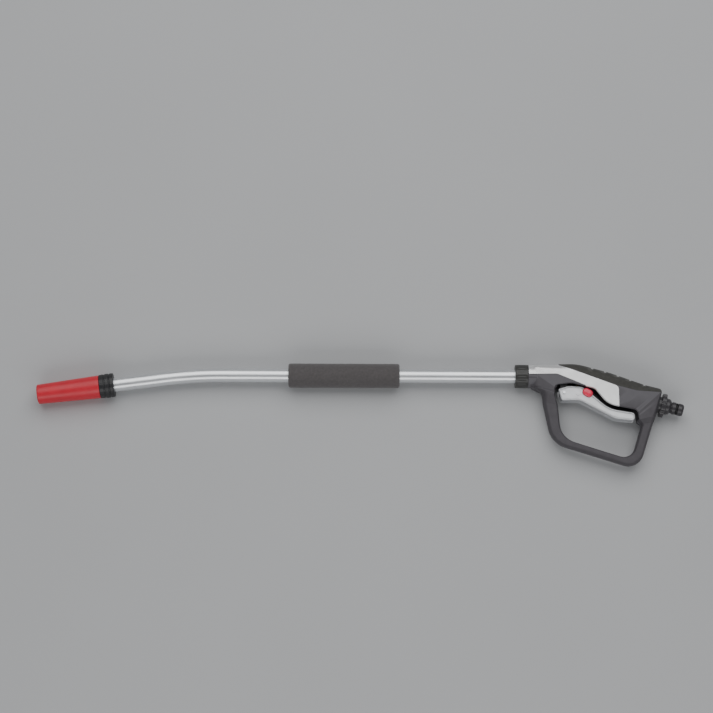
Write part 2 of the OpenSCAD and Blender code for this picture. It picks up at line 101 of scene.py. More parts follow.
def add_camera():
    """A long lens high above the handle's side, a little towards the guard."""
    camera = bpy.data.objects.new("Camera", bpy.data.cameras.new("Camera"))
    camera.data.lens = LENS
    back = Vector((0, -math.cos(VIEW_ELEVATION), math.sin(VIEW_ELEVATION)))
    camera.location = LOOK_AT + back * VIEW_DISTANCE
    turn = (-back).to_track_quat("-Z", "Y").to_matrix() @ Matrix.Rotation(VIEW_ROLL, 3, "Z")
    camera.rotation_euler = turn.to_euler()
    bpy.context.scene.collection.objects.link(camera)
    bpy.context.scene.camera = camera


def add_softbox(name, centre, target, size, power):
    """A rectangular area light at centre that faces target."""
    lamp = bpy.data.lights.new(name, "AREA")
    lamp.shape = "RECTANGLE"
    lamp.size, lamp.size_y = size
    lamp.energy = power
    obj = bpy.data.objects.new(name, lamp)
    obj.location = centre
    obj.rotation_euler = (Vector(target) - Vector(centre)).to_track_quat("-Z", "Y").to_euler()
    bpy.context.scene.collection.objects.link(obj)


def add_lights():
    """A large softbox behind the object, a lower one in front of it and a pale sky."""
    add_softbox("main_softbox", (0.1, 1.25, 1.9), (0, 0.1, 0), (3.0, 2.2), 42)
    add_softbox("front_softbox", (0.0, -1.7, 1.2), (0, 0, 0), (3.0, 1.0), 20)
    world = bpy.data.worlds.new("studio")
    bpy.context.scene.world = world
    world.use_nodes = True
    background = world.node_tree.nodes["Background"]
    background.inputs["Color"].default_value = (0.86, 0.88, 0.92, 1)
    background.inputs["Strength"].default_value = 0.22


def add_floor():
    """The plain floor that the object lies on."""
    size = 6
    bm = bmesh.new()
    bmesh.ops.create_grid(bm, x_segments=8, y_segments=8, size=size)
    mesh = bpy.data.meshes.new("floor")
    bm.to_mesh(mesh)
    bm.free()
    floor = bpy.data.objects.new("floor", mesh)
    floor.location.z = CAD_BOX[0].z
    bpy.context.scene.collection.objects.link(floor)
    mesh.materials.append(floor_material())


# ---- Materials ----


def srgb(*levels):
    """A linear colour from 0-255 display levels."""
    parts = [level / 255 for level in levels]
    linear = [c / 12.92 if c <= 0.04045 else ((c + 0.055) / 1.055) ** 2.4 for c in parts]
    return (*linear, 1)


def scaled(colour, factor):
    return (*[min(1, c * factor) for c in colour[:3]], 1)


class Finish:
    """A material whose colour, roughness and bump come from object-space noise."""

    def __init__(self, name, **sockets):
        self.material = bpy.data.materials.new(name)
        self.material.use_nodes = True
        self.tree = self.material.node_tree
        self.shader = self.tree.nodes["Principled BSDF"]
        for socket, value in sockets.items():
            self.shader.inputs[socket.replace("_", " ")].default_value = value
        self.coordinates = self.tree.nodes.new("ShaderNodeTexCoord").outputs["Object"]
        self.normal = None

    def node(self, kind, **settings):
        node = self.tree.nodes.new("ShaderNode" + kind)
        for key, value in settings.items():
            setattr(node, key, value)
        return node

    def link(self, source, target):
        self.tree.links.new(source, target)

    def stretched(self, stretch):
        mapping = self.node("Mapping")
        mapping.inputs["Scale"].default_value = stretch
        self.link(self.coordinates, mapping.inputs["Vector"])
        return mapping.outputs["Vector"]

    def noise(self, cell_mm, detail=3, stretch=(1, 1, 1), roughness=0.5):
        texture = self.node("TexNoise")
        texture.inputs["Scale"].default_value = 1 / (cell_mm * MM)
        texture.inputs["Detail"].default_value = detail
        texture.inputs["Roughness"].default_value = roughness
        self.link(self.stretched(stretch), texture.inputs["Vector"])
        return texture.outputs["Fac"]

    def cells(self, cell_mm, feature="F1", stretch=(1, 1, 1)):
        texture = self.node("TexVoronoi", feature=feature)
        texture.inputs["Scale"].default_value = 1 / (cell_mm * MM)
        self.link(self.stretched(stretch), texture.inputs["Vector"])
        return texture.outputs["Distance"]

    def ramp(self, value, low, high, start=0.3, end=0.7):
        ramp = self.node("ValToRGB")
        ramp.color_ramp.elements[0].position = start
        ramp.color_ramp.elements[1].position = end
        ramp.color_ramp.elements[0].color = low
        ramp.color_ramp.elements[1].color = high
        self.link(value, ramp.inputs["Fac"])
        return ramp.outputs["Color"]

    def colour(self, base, spread, cell_mm, worn=None, edge=(0.52, 0.6), stretch=(1, 1, 1)):
        """Base colour that drifts by spread, and turns to the worn colour on convex edges."""
        drift = self.ramp(self.noise(cell_mm, 5, stretch), scaled(base, 1 - spread), scaled(base, 1 + spread))
        if worn:
            points = self.node("NewGeometry").outputs["Pointiness"]
            edges = self.ramp(points, (0, 0, 0, 1), (1, 1, 1, 1), *edge)
            mix = self.node("Mix", data_type="RGBA")
            self.link(edges, mix.inputs["Factor"])
            self.link(drift, mix.inputs["A"])
            mix.inputs["B"].default_value = worn
            drift = mix.outputs["Result"]
        self.link(drift, self.shader.inputs["Base Color"])

    def gloss(self, low, high, cell_mm, stretch=(1, 1, 1)):
        """Roughness that drifts between low and high."""
        spread = self.node("MapRange")
        spread.inputs["From Min"].default_value = 0.3
        spread.inputs["From Max"].default_value = 0.7
        spread.inputs["To Min"].default_value = low
        spread.inputs["To Max"].default_value = high
        self.link(self.noise(cell_mm, 4, stretch), spread.inputs["Value"])
        self.link(spread.outputs["Result"], self.shader.inputs["Roughness"])

    def bump(self, height, depth_mm, strength=1.0):
        bump = self.node("Bump")
        bump.inputs["Distance"].default_value = depth_mm * MM
        bump.inputs["Strength"].default_value = strength
        self.link(height, bump.inputs["Height"])
        if self.normal:
            self.link(self.normal, bump.inputs["Normal"])
        self.normal = bump.outputs["Normal"]
        self.link(self.normal, self.shader.inputs["Normal"])


def moulded(name, base, worn, grain_mm, grain_depth, gloss, spread=0.06, **sockets):
    """Moulded plastic: fine spark-eroded grain, faint flow marks and slightly polished edges."""
    finish = Finish(name, **sockets)
    finish.colour(base, spread, 9, worn)
    finish.gloss(*gloss, 6)
    finish.bump(finish.noise(14, 2), 0.06, 0.5)
    finish.bump(finish.noise(grain_mm, 4, roughness=0.65), grain_depth)
    return finish.material


def handle_plastic():
    return moulded("handle_plastic", srgb(74, 71, 75), srgb(92, 90, 94), 0.5, 0.05, (0.55, 0.68))


def pad_rubber():
    finish = Finish("pad_rubber", Sheen_Weight=0.15, Sheen_Roughness=0.5)
    finish.colour(srgb(56, 55, 51), 0.1, 5, srgb(78, 77, 73))
    finish.gloss(0.6, 0.78, 4)
    finish.bump(finish.cells(0.9), 0.09, 0.8)
    finish.bump(finish.noise(0.3), 0.02)
    return finish.material


def silver_paint(name, base):
    """Silver paint: fine metallic flakes under a satin lacquer."""
    finish = Finish(name, Metallic=0.55, Coat_Weight=0.35, Coat_Roughness=0.18)
    finish.colour(base, 0.05, 0.25, scaled(base, 1.12))
    finish.gloss(0.28, 0.4, 8)
    finish.bump(finish.noise(10, 2), 0.05, 0.5)
    finish.bump(finish.noise(0.35, 3), 0.008)
    return finish.material


def silver_plastic():
    return silver_paint("silver_plastic", srgb(214, 214, 214))


def trigger_plastic():
    return silver_paint("trigger_plastic", srgb(206, 207, 209))


def nut_plastic():
    return moulded("nut_plastic", srgb(52, 52, 50), srgb(92, 92, 88), 0.6, 0.03, (0.3, 0.42))


def collar_plastic():
    return moulded("collar_plastic", srgb(38, 38, 40), srgb(74, 74, 76), 0.6, 0.03, (0.34, 0.46))


def inlet_plastic():
    return moulded("inlet_plastic", srgb(56, 54, 57), srgb(108, 106, 108), 0.6, 0.03, (0.26, 0.38))


def valve_plastic():
    return moulded("valve_plastic", srgb(30, 30, 32), srgb(52, 52, 54), 0.6, 0.04, (0.45, 0.6))


def sleeve_plastic():
    finish = Finish("sleeve_plastic", Coat_Weight=0.08, Coat_Roughness=0.3)
    finish.colour(srgb(208, 34, 52), 0.07, 14, srgb(224, 72, 84))
    finish.gloss(0.34, 0.46, 7)
    finish.bump(finish.noise(18, 2), 0.08, 0.5)
    finish.bump(finish.noise(0.5, 4), 0.02)
    return finish.material


def button_plastic():
    finish = Finish("button_plastic", Coat_Weight=0.4, Coat_Roughness=0.12)
    finish.colour(srgb(236, 52, 84), 0.05, 6, srgb(242, 110, 128))
    finish.gloss(0.22, 0.32, 4)
    finish.bump(finish.noise(0.4, 3), 0.008)
    return finish.material


def tube_aluminium():
    """Drawn aluminium: streaks and die lines along the tube, and a few dull handling marks."""
    along = (0.012, 1, 1)
    finish = Finish("tube_aluminium", Metallic=1.0)
    finish.colour(srgb(236, 238, 240), 0.03, 0.8, stretch=along)
    finish.gloss(0.3, 0.42, 0.9, along)
    finish.bump(finish.noise(0.35, 5, along), 0.006, 0.7)
    finish.bump(finish.noise(22, 2), 0.05, 0.3)
    return finish.material


def grip_foam():
    """Closed-cell foam: fine open pores on a skin that drifts a little in tone."""
    finish = Finish("grip_foam", Sheen_Weight=0.25, Sheen_Roughness=0.6)
    finish.colour(srgb(78, 74, 74), 0.14, 3, srgb(100, 96, 94))
    finish.gloss(0.72, 0.9, 4)
    finish.bump(finish.noise(6, 3), 0.2, 0.5)
    finish.bump(finish.cells(0.75), 0.16, 0.9)
    finish.bump(finish.noise(0.3, 3), 0.04)
    return finish.material


def seal_rubber():
    return moulded("seal_rubber", srgb(20, 20, 20), srgb(40, 40, 40), 0.4, 0.02, (0.5, 0.65))


def turned_metal(name, base, worn, across):
    """Turned or ground metal with fine tool lines."""
    finish = Finish(name, Metallic=1.0)
    finish.colour(base, 0.08, 1.2, worn, stretch=across)
    finish.gloss(0.2, 0.36, 0.8, across)
    finish.bump(finish.noise(0.3, 4, across), 0.008)
    return finish.material


def valve_brass():
    return turned_metal("valve_brass", srgb(198, 168, 96), srgb(222, 200, 140), (1, 0.1, 0.1))


def steel():
    return turned_metal("steel", srgb(176, 178, 182), srgb(220, 221, 224), (0.2, 0.2, 1))


def floor_material():
    finish = Finish("floor", Roughness=0.75)
    finish.colour(srgb(186, 187, 188), 0.015, 300)
    finish.bump(finish.noise(0.8, 3), 0.02)
    return finish.material


BUILDERS = [
    handle_plastic, silver_plastic, pad_rubber, nut_plastic, tube_aluminium, grip_foam, valve_plastic,
    valve_brass, steel, seal_rubber, trigger_plastic, button_plastic, collar_plastic, sleeve_plastic,
    inlet_plastic,
]
FINISHES = {build.__name__: build() for build in BUILDERS}
SLOT_OF = {part["node"]: part["material_slot"] for part in frame["record"]["subparts"]}

# ---- Mesh building ----


def new_object(name, bm):
    mesh = bpy.data.meshes.new(name)
    bm.to_mesh(mesh)
    bm.free()
    obj = bpy.data.objects.new(name, mesh)
    bpy.context.scene.collection.objects.link(obj)
    return obj


def loft(name, rings, where=HANDLE, around=True):
    """A closed surface through rings of points; it has flat ends unless it goes around."""
    bm = bmesh.new()
    rows = [[bm.verts.new(where @ Vector(p)) for p in ring] for ring in rings]
    size = len(rows[0])
    for a, b in zip(rows, rows[1:] + rows[:1] if around else rows[1:]):
        for k in range(size):
            after = (k + 1) % size
            bm.faces.new((a[k], b[k], b[after], a[after]))
    if not around:
        bm.faces.new(rows[0])
        bm.faces.new(rows[-1][::-1])
    bmesh.ops.remove_doubles(bm, verts=bm.verts, dist=1e-7)
    bmesh.ops.recalc_face_normals(bm, faces=bm.faces)
    return new_object(name, bm)


def turned(name, profile, where, steps=96, shape=None):
    """A closed profile of (distance along X, radius), turned about X; shape may change a radius."""
    rings = []
    for i in range(steps):
        a = math.tau * i / steps
        radii = [(s, shape(s, r, a) if shape else r) for s, r in profile]
        rings.append([(s, r * math.cos(a), r * math.sin(a)) for s, r in radii])
    return loft(name, rings, where)


def prism(name, outline, low, high, where=HANDLE):
    return loft(name, [[(x, y, z) for x, y in outline] for z in (low, high)], where, around=False)


def disc(centre, radius, steps=32):
    turns = [math.tau * i / steps for i in range(steps)]
    return [(centre[0] + radius * math.cos(a), centre[1] + radius * math.sin(a)) for a in turns]


def apply_modifiers(piece):
    graph = bpy.context.evaluated_depsgraph_get()
    mesh = bpy.data.meshes.new_from_object(piece.evaluated_get(graph))
    old = piece.data
    piece.modifiers.clear()
    piece.data = mesh
    bpy.data.meshes.remove(old)


def combine(piece, tool, how):
    """piece with tool added (UNION), removed (DIFFERENCE) or shared (INTERSECT); tool is used up."""
    modifier = piece.modifiers.new("combine", "BOOLEAN")
    modifier.operation = how
    modifier.solver = "MANIFOLD"
    modifier.object = tool
    bpy.context.view_layer.update()
    apply_modifiers(piece)
    bpy.data.objects.remove(tool)
    return piece


def cut(piece, *tools):
    for tool in tools:
        combine(piece, tool, "DIFFERENCE")
    return piece


def finish_piece(piece, body, slot, nodes, edge_mm=0.0, sharp=35):
    """Rounded edges, smooth shading, a material, and the CAD nodes that the piece stands for."""
    piece.data.materials.clear()
    piece.data.materials.append(FINISHES[slot])
    piece.data.polygons.foreach_set("use_smooth", [True] * len(piece.data.polygons))
    if edge_mm:
        bevel = piece.modifiers.new("edges", "BEVEL")
        bevel.width = edge_mm * MM
        bevel.segments = 2
        bevel.limit_method = "ANGLE"
        bevel.angle_limit = math.radians(sharp)
        bevel.harden_normals = False
        apply_modifiers(piece)
    piece.data.set_sharp_from_angle(angle=math.radians(sharp))
    piece.modifiers.new("normals", "WEIGHTED_NORMAL").keep_sharp = True
    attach(piece, body)
    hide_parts(*nodes)
    return piece


# ---- Outlines with round corners ----


def corner(a, v, b, radius, n):
    """The arc that rounds corner v between a and b, as n + 1 points."""
    a, v, b = Vector(a), Vector(v), Vector(b)
    ua, ub = (a - v).normalized(), (b - v).normalized()
    half = math.acos(max(-1, min(1, ua.dot(ub)))) / 2
    centre = v + (ua + ub).normalized() * radius / math.sin(half)
    start = v + ua * radius / math.tan(half) - centre
    turn = ua.x * ub.y - ua.y * ub.x
    sweep = -math.copysign(math.pi - 2 * half, turn)
    first = math.atan2(start.y, start.x)
    angles = [first + sweep * i / n for i in range(n + 1)]
    return [centre + radius * Vector((math.cos(t), math.sin(t))) for t in angles]


def rounded(rows, n=8):
    """A closed outline from rows of (x, y, corner radius); a radius of 0 keeps the corner sharp."""
    outline = []
    for i, (x, y, radius) in enumerate(rows):
        before, after = rows[i - 1][:2], rows[(i + 1) % len(rows)][:2]
        outline += corner(before, (x, y), after, radius, n) if radius else [Vector((x, y))]
    return outline


def grown(outline, distance):
    """A counter-clockwise outline moved outwards by distance, point by point."""
    moved = []
    for i, p in enumerate(outline):
        before = (p - outline[i - 1]).normalized()
        after = (outline[(i + 1) % len(outline)] - p).normalized()
        normal = Vector((before.y + after.y, -before.x - after.x)).normalized()
        moved.append(p + normal * distance / max(0.3, normal.dot(Vector((before.y, -before.x)))))
    return moved


def counter_clockwise(outline):
    area = sum(a.x * b.y - a.y * b.x for a, b in zip(outline, outline[1:] + outline[:1]))
    return outline if area > 0 else outline[::-1]


# ---- Handle: a ring of rounded cross-sections round the finger opening ----

BODY_HALF = handle_box("shell_left")[1].z
GUARD_HALF = 10.5
WALL = 2.6
TRIM_T = 1.4
PAD_T = 1.9
SEAM_GAP = 0.12
INLAY_GAP = 0.2
# Outer corner (x, y, radius), inner corner (x, y, radius), half thickness, outer and inner edge rounds
BAND = [
    (2, 16.4, 6, 38.6, -15.4, 6, 16.3, 14, 2.5),
    (68.5, 17.9, 80, 60, -13.2, 25, BODY_HALF, 13, 2.5),
    (114, 5.4, 150, 90.5, -20.8, 10, BODY_HALF, 13, 2.5),
    (160, -11.2, 80, 108.5, -43, 32, BODY_HALF, 12, 2.5),
    (187.2, -18.8, 5, 149.6, -50.4, 8, BODY_HALF, 6, 2.5),
    (176.6, -57.5, 12, 150.2, -63.5, 4, 16.5, 7, 3),
    (172.6, -66.5, 10, 156.2, -69.5, 5, 11.5, 5, 4),
    (151.5, -131.7, 22, 141, -117.6, 16, GUARD_HALF, 4, 3.5),
    (31.5, -94.1, 34, 45.4, -87.4, 28, GUARD_HALF, 4, 3.5),
    (20.6, -40, 40, 41.2, -42, 20, 11.5, 5, 3.5),
    (18.3, -17, 14, 37.3, -28, 8, 15, 9, 3),
    (2, -16.4, 4, 37.3, -20.5, 3.5, 16.3, 14, 2.5),
]
ARC_N, LINK_N = 10, 8
OUTER_N, INNER_N = 12, 8
PER_ROW = ARC_N + LINK_N


def band_arc(i, x, y, radius):
    rows = [BAND[(i + k) % len(BAND)] for k in (-1, 0, 1)]
    points = [(row[x], row[y]) for row in rows]
    return corner(*points, rows[1][radius], ARC_N)


def band_stations():
    """(outer point, inner point, (half thickness, outer round, inner round)) all round the band."""
    stations = []
    for i in range(len(BAND)):
        j = (i + 1) % len(BAND)
        outer, inner = band_arc(i, 0, 1, 2), band_arc(i, 3, 4, 5)
        next_outer, next_inner = band_arc(j, 0, 1, 2)[0], band_arc(j, 3, 4, 5)[0]
        here, there = Vector(BAND[i][6:]), Vector(BAND[j][6:])
        stations += [(outer[k], inner[k], here) for k in range(ARC_N + 1)]
        for k in range(1, LINK_N):
            t = k / LINK_N
            ease = t * t * (3 - 2 * t)
            outer_point, inner_point = outer[-1].lerp(next_outer, t), inner[-1].lerp(next_inner, t)
            stations.append((outer_point, inner_point, here.lerp(there, ease)))
    return stations


def blended(stations, reach=5):
    """The same stations, with their thickness and edge rounds averaged over their neighbours."""
    count = len(stations)
    smooth = []
    for i, (outer, inner, _) in enumerate(stations):
        near = [stations[(i + k) % count][2] for k in range(-reach, reach + 1)]
        smooth.append((outer, inner, sum(near, Vector((0, 0, 0))) / len(near)))
    return smooth


STATIONS = blended(band_stations())


def cross_section(station, inset):
    """One closed cross-section of the skin, shrunk all round by inset."""
    outer, inner, (half, outer_round, inner_round) = station
    across = inner - outer
    width, u = across.length - 2 * inset, across.normalized()
    height = half - inset
    squeeze = min(1, width / (outer_round + inner_round))
    ro, ri = squeeze * outer_round, squeeze * inner_round
    turns = [math.pi / 2 * k / OUTER_N for k in range(OUTER_N + 1)]
    top = [(ro * (1 - math.cos(a)), height * math.sin(a)) for a in turns]
    turns = [math.pi / 2 * k / INNER_N for k in range(INNER_N, -1, -1)]
    top += [(width - ri * (1 - math.cos(a)), height * math.sin(a)) for a in turns]
    ring = top + [(d, -z) for d, z in top[-2:0:-1]]
    return [(*(outer + u * (inset + d)), z) for d, z in ring]


NOSE_R = 16.3
NECK_LEN = 30


def skin(name, inset):
    """The ring and the round neck that carries the nut, shrunk all round by inset."""
    ring = loft(name, [cross_section(s, inset) for s in STATIONS])
    r = NOSE_R - inset
    profile = [(0, 0), (0, r - 0.5), (0.15, r - 0.15), (0.5, r), (NECK_LEN, r), (NECK_LEN, 0)]
    return combine(ring, turned("neck", profile, HANDLE), "UNION")


def bore(start, end, radius, where=HANDLE):
    return turned("bore", [(start, 0), (start, radius), (end, radius), (end, 0)], where, 64)


TRIM_ROWS = [
    (0.9, 0.6, 0), (40, 1.1, 15), (79, -15.3, 0), (84, -36, 0), (124.6, -66, 0),
    (124.6, -16.6, 7), (43, 13.4, 0), (38, 30, 0), (0.9, 30, 0),
]
PAD_ROWS = [
    (44.5, 13.7, 0), (125, -15.9, 0), (150, -22.4, 30), (195, -25.4, 0), (200, 30, 0), (39.5, 30, 0),
]
NOTCHES = [(88, 11.7), (106.3, 7.5), (124, 2), (141, -4.4), (160.4, -11.2)]
NOTCH_DEPTH = 1.4
NOTCH_W = 3.6
NOTCH_LEN = 6
NOTCH_ANGLE = math.radians(-20)
FAR = 60
CHEEK = BODY_HALF - WALL
BODY = range(ARC_N // 2, 5 * PER_ROW + ARC_N // 2 + 1)
GUARD = range(6 * PER_ROW + ARC_N, 9 * PER_ROW + ARC_N * 2 // 3)
RIM_DEPTH = 7
RIM_PAST = 1.5


def region(rows, gap):
    return grown(counter_clockwise(rounded(rows)), gap)


def recess(rows, depth):
    """The pocket of an inlay: its outline through the whole handle, less the skin below it."""
    return cut(prism("pocket", region(rows, INLAY_GAP), -FAR, FAR), skin("floor_of_pocket", depth))


def side_outline(indices, outer_inset, inner_inset):
    """The outline of some stations in side view, inset from the outer and the inner edge."""
    arcs = [i for i in indices if i % PER_ROW <= ARC_N]
    along = {i: (STATIONS[i][1] - STATIONS[i][0]).normalized() for i in arcs}
    outline = [STATIONS[i][0] + along[i] * outer_inset for i in arcs]
    return outline + [STATIONS[i][1] - along[i] * inner_inset for i in arcs[-2:0:-1]]


def rim_opening():
    """The opening between the cheeks along the body's inner edge."""
    arcs = [i for i in BODY if i % PER_ROW <= ARC_N]
    along = {i: (STATIONS[i][1] - STATIONS[i][0]).normalized() for i in arcs}
    outline = [STATIONS[i][1] - along[i] * RIM_DEPTH for i in arcs]
    outline += [STATIONS[i][1] + along[i] * (RIM_PAST + 1) for i in arcs[-2:0:-1]]
    half = CHEEK + INLAY_GAP
    return prism("rim_opening", outline, -half, half)


def hollow():
    """The space inside the body, open along its inner edge, and inside the guard."""
    body = combine(skin("hollow", WALL), rim_opening(), "UNION")
    combine(body, prism("side", side_outline(BODY, 1, -RIM_PAST), -FAR, FAR), "INTERSECT")
    guard = skin("guard_hollow", WALL)
    combine(guard, prism("side", side_outline(GUARD, 1, 1), -FAR, FAR), "INTERSECT")
    combine(body, guard, "UNION")
    return cut(body, *[prism("boss", disc((x, y), BOSS_R), -FAR, FAR) for x, y, seat in SCREWS])


SCREWS = [(32, -62, 8.2), (96, -109.4, 8.2), (158, -88, 8.2), (164.5, -56, 13), (27.5, -22, 11)]
BOSS_R = 3.6
HEAD_R = 2.9
FRONT_SOCKET = (-1, 39, 12.2)
INLET_SOCKET = (-26, 6, 13.2)


def make_shells():
    """The skin less its inlays, hollow, sockets and counterbores, parted on the middle plane."""
    whole = skin("whole", 0)
    cut(whole, recess(TRIM_ROWS, TRIM_T), recess(PAD_ROWS, PAD_T), hollow())
    cut(whole, bore(*FRONT_SOCKET), bore(*INLET_SOCKET, INLET))
    for x, y, seat in SCREWS:
        cut(whole, prism("counterbore", disc((x, y), HEAD_R + INLAY_GAP), -FAR, -seat))
    left, right, low_y, high_y = -50, 250, -200, 100
    square = [(left, low_y), (right, low_y), (right, high_y), (left, high_y)]
    for name, low, high in (("shell_left_skin", -FAR, SEAM_GAP), ("shell_right_skin", -SEAM_GAP, FAR)):
        half = whole.copy()
        half.data = whole.data.copy()
        half.name = half.data.name = name
        bpy.context.scene.collection.objects.link(half)
        cut(half, prism("other_half", square, low, high))
        finish_piece(half, "handle", "handle_plastic", [name.replace("_skin", "")], 0.3)
    bpy.data.objects.remove(whole)


def inlay(name, rows, depth):
    """The outer layer of the skin, depth thick, inside an outline in side view."""
    piece = combine(skin(name, 0), prism("outline", region(rows, 0), -FAR, FAR), "INTERSECT")
    return cut(piece, skin("below", depth))


def make_trim():
    """The silver saddle over the neck and down both sides."""
    trim = cut(inlay("trim_skin", TRIM_ROWS, TRIM_T), rim_opening(), bore(-1, 3, NOSE_R - TRIM_T))
    finish_piece(trim, "handle", "silver_plastic", ["trim"], 0.35)


def make_pad():
    """The soft pad, with notches of even depth that run down over its round edge."""
    pad = inlay("back_pad_skin", PAD_ROWS, PAD_T)
    turn = Matrix.Rotation(NOTCH_ANGLE, 2)
    tooth = [(0, 4), (0.2, -NOTCH_LEN), (NOTCH_W - 0.2, 1 - NOTCH_LEN), (NOTCH_W, 4)]
    for at in NOTCHES:
        outline = [Vector(at) + turn @ Vector(p) for p in tooth]
        cut(pad, cut(prism("notch", outline, -FAR, FAR), skin("floor_of_notch", NOTCH_DEPTH)))
    finish_piece(pad, "handle", "pad_rubber", ["back_pad"], 0.3)


# ---- Trigger and lock button ----

TRIGGER_HALF = handle_box("trigger")[1].z
TRIGGER_ROWS = [
    (41, -19.4, 3), (55, -14.8, 20), (75, -15.6, 12), (112, -46.8, 40), (147.2, -52.6, 5),
    (147.4, -64.2, 4), (120, -61.6, 30), (71, -35.5, 20), (45.2, -35.8, 4),
]
CHANNEL_ROWS = [
    (38, -33.3, 0), (71.6, -33.1, 18), (120.6, -59.1, 28), (144, -61.2, 2),
    (144.4, -40, 0), (100, 0, 0), (38, 0, 0),
]
CHANNEL_HALF = 9
PIVOT = TO_HANDLE @ Vector(JOINTS["trigger_pull"]["pos_m"])
PIN_R = 2.05
BAR = (69, -25.3)
BAR_R = 3
BUTTON = Vector((82.1, -24.6))
BUTTON_ANGLE = math.radians(-31)
BUTTON_LEN, BUTTON_W = 15, 10.6
SHAFT_R = 2.4
SHAFT_OFFSET = 4.5


def pillow(name, outline, low, high, radius, steps=6, where=HANDLE):
    """An outline raised from low to high with round edges of that radius."""
    outline = counter_clockwise(outline)
    turns = [math.pi / 2 * k / steps for k in range(steps + 1)]
    levels = [(radius * (1 - math.sin(a)), high - radius * (1 - math.cos(a))) for a in turns[::-1]]
    mirrored = [(inset, low + high - z) for inset, z in levels]
    rings = [[(*p, z) for p in grown(outline, -inset)] for inset, z in mirrored + levels[::-1]]
    return loft(name, rings, where, around=False)


def stadium(length, width, centre, angle, n=12):
    turn = Matrix.Rotation(angle, 2)
    straight = (length - width) / 2
    outline = []
    for side, start in ((1, -math.pi / 2), (-1, math.pi / 2)):
        for k in range(n + 1):
            a = start + math.pi * k / n
            outline.append(Vector((side * straight + width / 2 * math.cos(a), width / 2 * math.sin(a))))
    return [centre + turn @ p for p in outline]


def make_trigger():
    """The curved lever, with round edges, an open channel behind it and the valve's cross-bar."""
    edge_round = 2.2
    trigger = pillow("trigger_lever", rounded(TRIGGER_ROWS, 12), -TRIGGER_HALF, TRIGGER_HALF, edge_round)
    cut(trigger, prism("channel", rounded(CHANNEL_ROWS, 12), -CHANNEL_HALF, CHANNEL_HALF))
    combine(trigger, prism("bar", disc(BAR, BAR_R), -CHANNEL_HALF - 1, CHANNEL_HALF + 1), "UNION")
    cut(trigger, prism("pin_hole", disc(PIVOT, PIN_R), -FAR, FAR))
    pocket = stadium(BUTTON_LEN + 0.5, BUTTON_W + 0.5, BUTTON, BUTTON_ANGLE)
    pocket_floor, shaft_fit, shaft_hole_top = 4, 0.05, 1
    cut(trigger, prism("pocket", pocket, pocket_floor, FAR))
    cut(trigger, prism("shaft_hole", disc(shaft_centre(), SHAFT_R + shaft_fit), -FAR, shaft_hole_top))
    finish_piece(trigger, "trigger", "trigger_plastic", ["trigger"], 0.25)


def shaft_centre():
    return BUTTON + SHAFT_OFFSET * Vector((math.sin(BUTTON_ANGLE), -math.cos(BUTTON_ANGLE)))


def make_button():
    """The oval cap with a domed top, and the shaft below it."""
    bottom, top = (corner_point.z for corner_point in handle_box("lock_button"))
    dome, crown, steps = 2.4, 4.9, 8
    cap_floor, chamfer, shaft_top = 6, 0.4, 8
    levels = [(chamfer, cap_floor), (0, cap_floor + chamfer)]
    turns = [math.pi / 2 * k / steps for k in range(steps + 1)]
    levels += [(crown * (1 - math.cos(a)), top - dome + dome * math.sin(a)) for a in turns]
    rings = []
    for inset, z in levels:
        outline = stadium(BUTTON_LEN - 2 * inset, BUTTON_W - 2 * inset, BUTTON, BUTTON_ANGLE, 16)
        rings.append([(*p, z) for p in outline])
    button = loft("lock_button_cap", rings, around=False)
    shaft = prism("shaft", disc(shaft_centre(), SHAFT_R), bottom, shaft_top)
    combine(button, shaft, "UNION")
    finish_piece(button, "lock", "button_plastic", ["lock_button"])


# ---- Nut, tube and grip ----

NUT_LEN = -handle_box("front_nut")[0].x
NUT_R = handle_box("front_nut")[1].y
NUT_FLUTES = 18
TUBE_R = 9.5
BORE_R = 8.3


def fluted(start, end, count, depth, fade=0.8):
    """Shallow round flutes between start and end, which fade out at both ends."""
    def shape(s, r, a):
        reach = max(0, min(1, (s - start) / fade, (end - s) / fade))
        wave = 0.5 + 0.5 * math.cos(count * a)
        return r - depth * reach * wave ** 3
    return shape


def spaced(rows, pitch):
    """An outline with extra points, at most pitch apart."""
    out = []
    for a, b in zip(rows, rows[1:] + rows[:1]):
        pieces = max(1, math.ceil((b - a).length / pitch))
        out += [a.lerp(b, k / pieces) for k in range(pieces)]
    return out


def make_nut():
    """The fluted nut, hollow behind for the socket that it screws on to."""
    socket_r, face, inner = 12, -9, TUBE_R + 0.05
    profile = rounded([
        (-NUT_LEN, inner, 0), (-NUT_LEN, NUT_R, 1.6), (0, NUT_R, 0.5), (0, socket_r, 0),
        (face, socket_r, 0), (face, inner, 0)], 5)
    groove = fluted(-NUT_LEN + 2.6, -2.2, NUT_FLUTES, 0.4)
    shape = lambda s, r, a: groove(s, r, a) if r > NUT_R - 1 else r
    nut = turned("front_nut_body", spaced(profile, 1.0), HANDLE, NUT_FLUTES * 12, shape)
    finish_piece(nut, "handle", "nut_plastic", ["front_nut"])


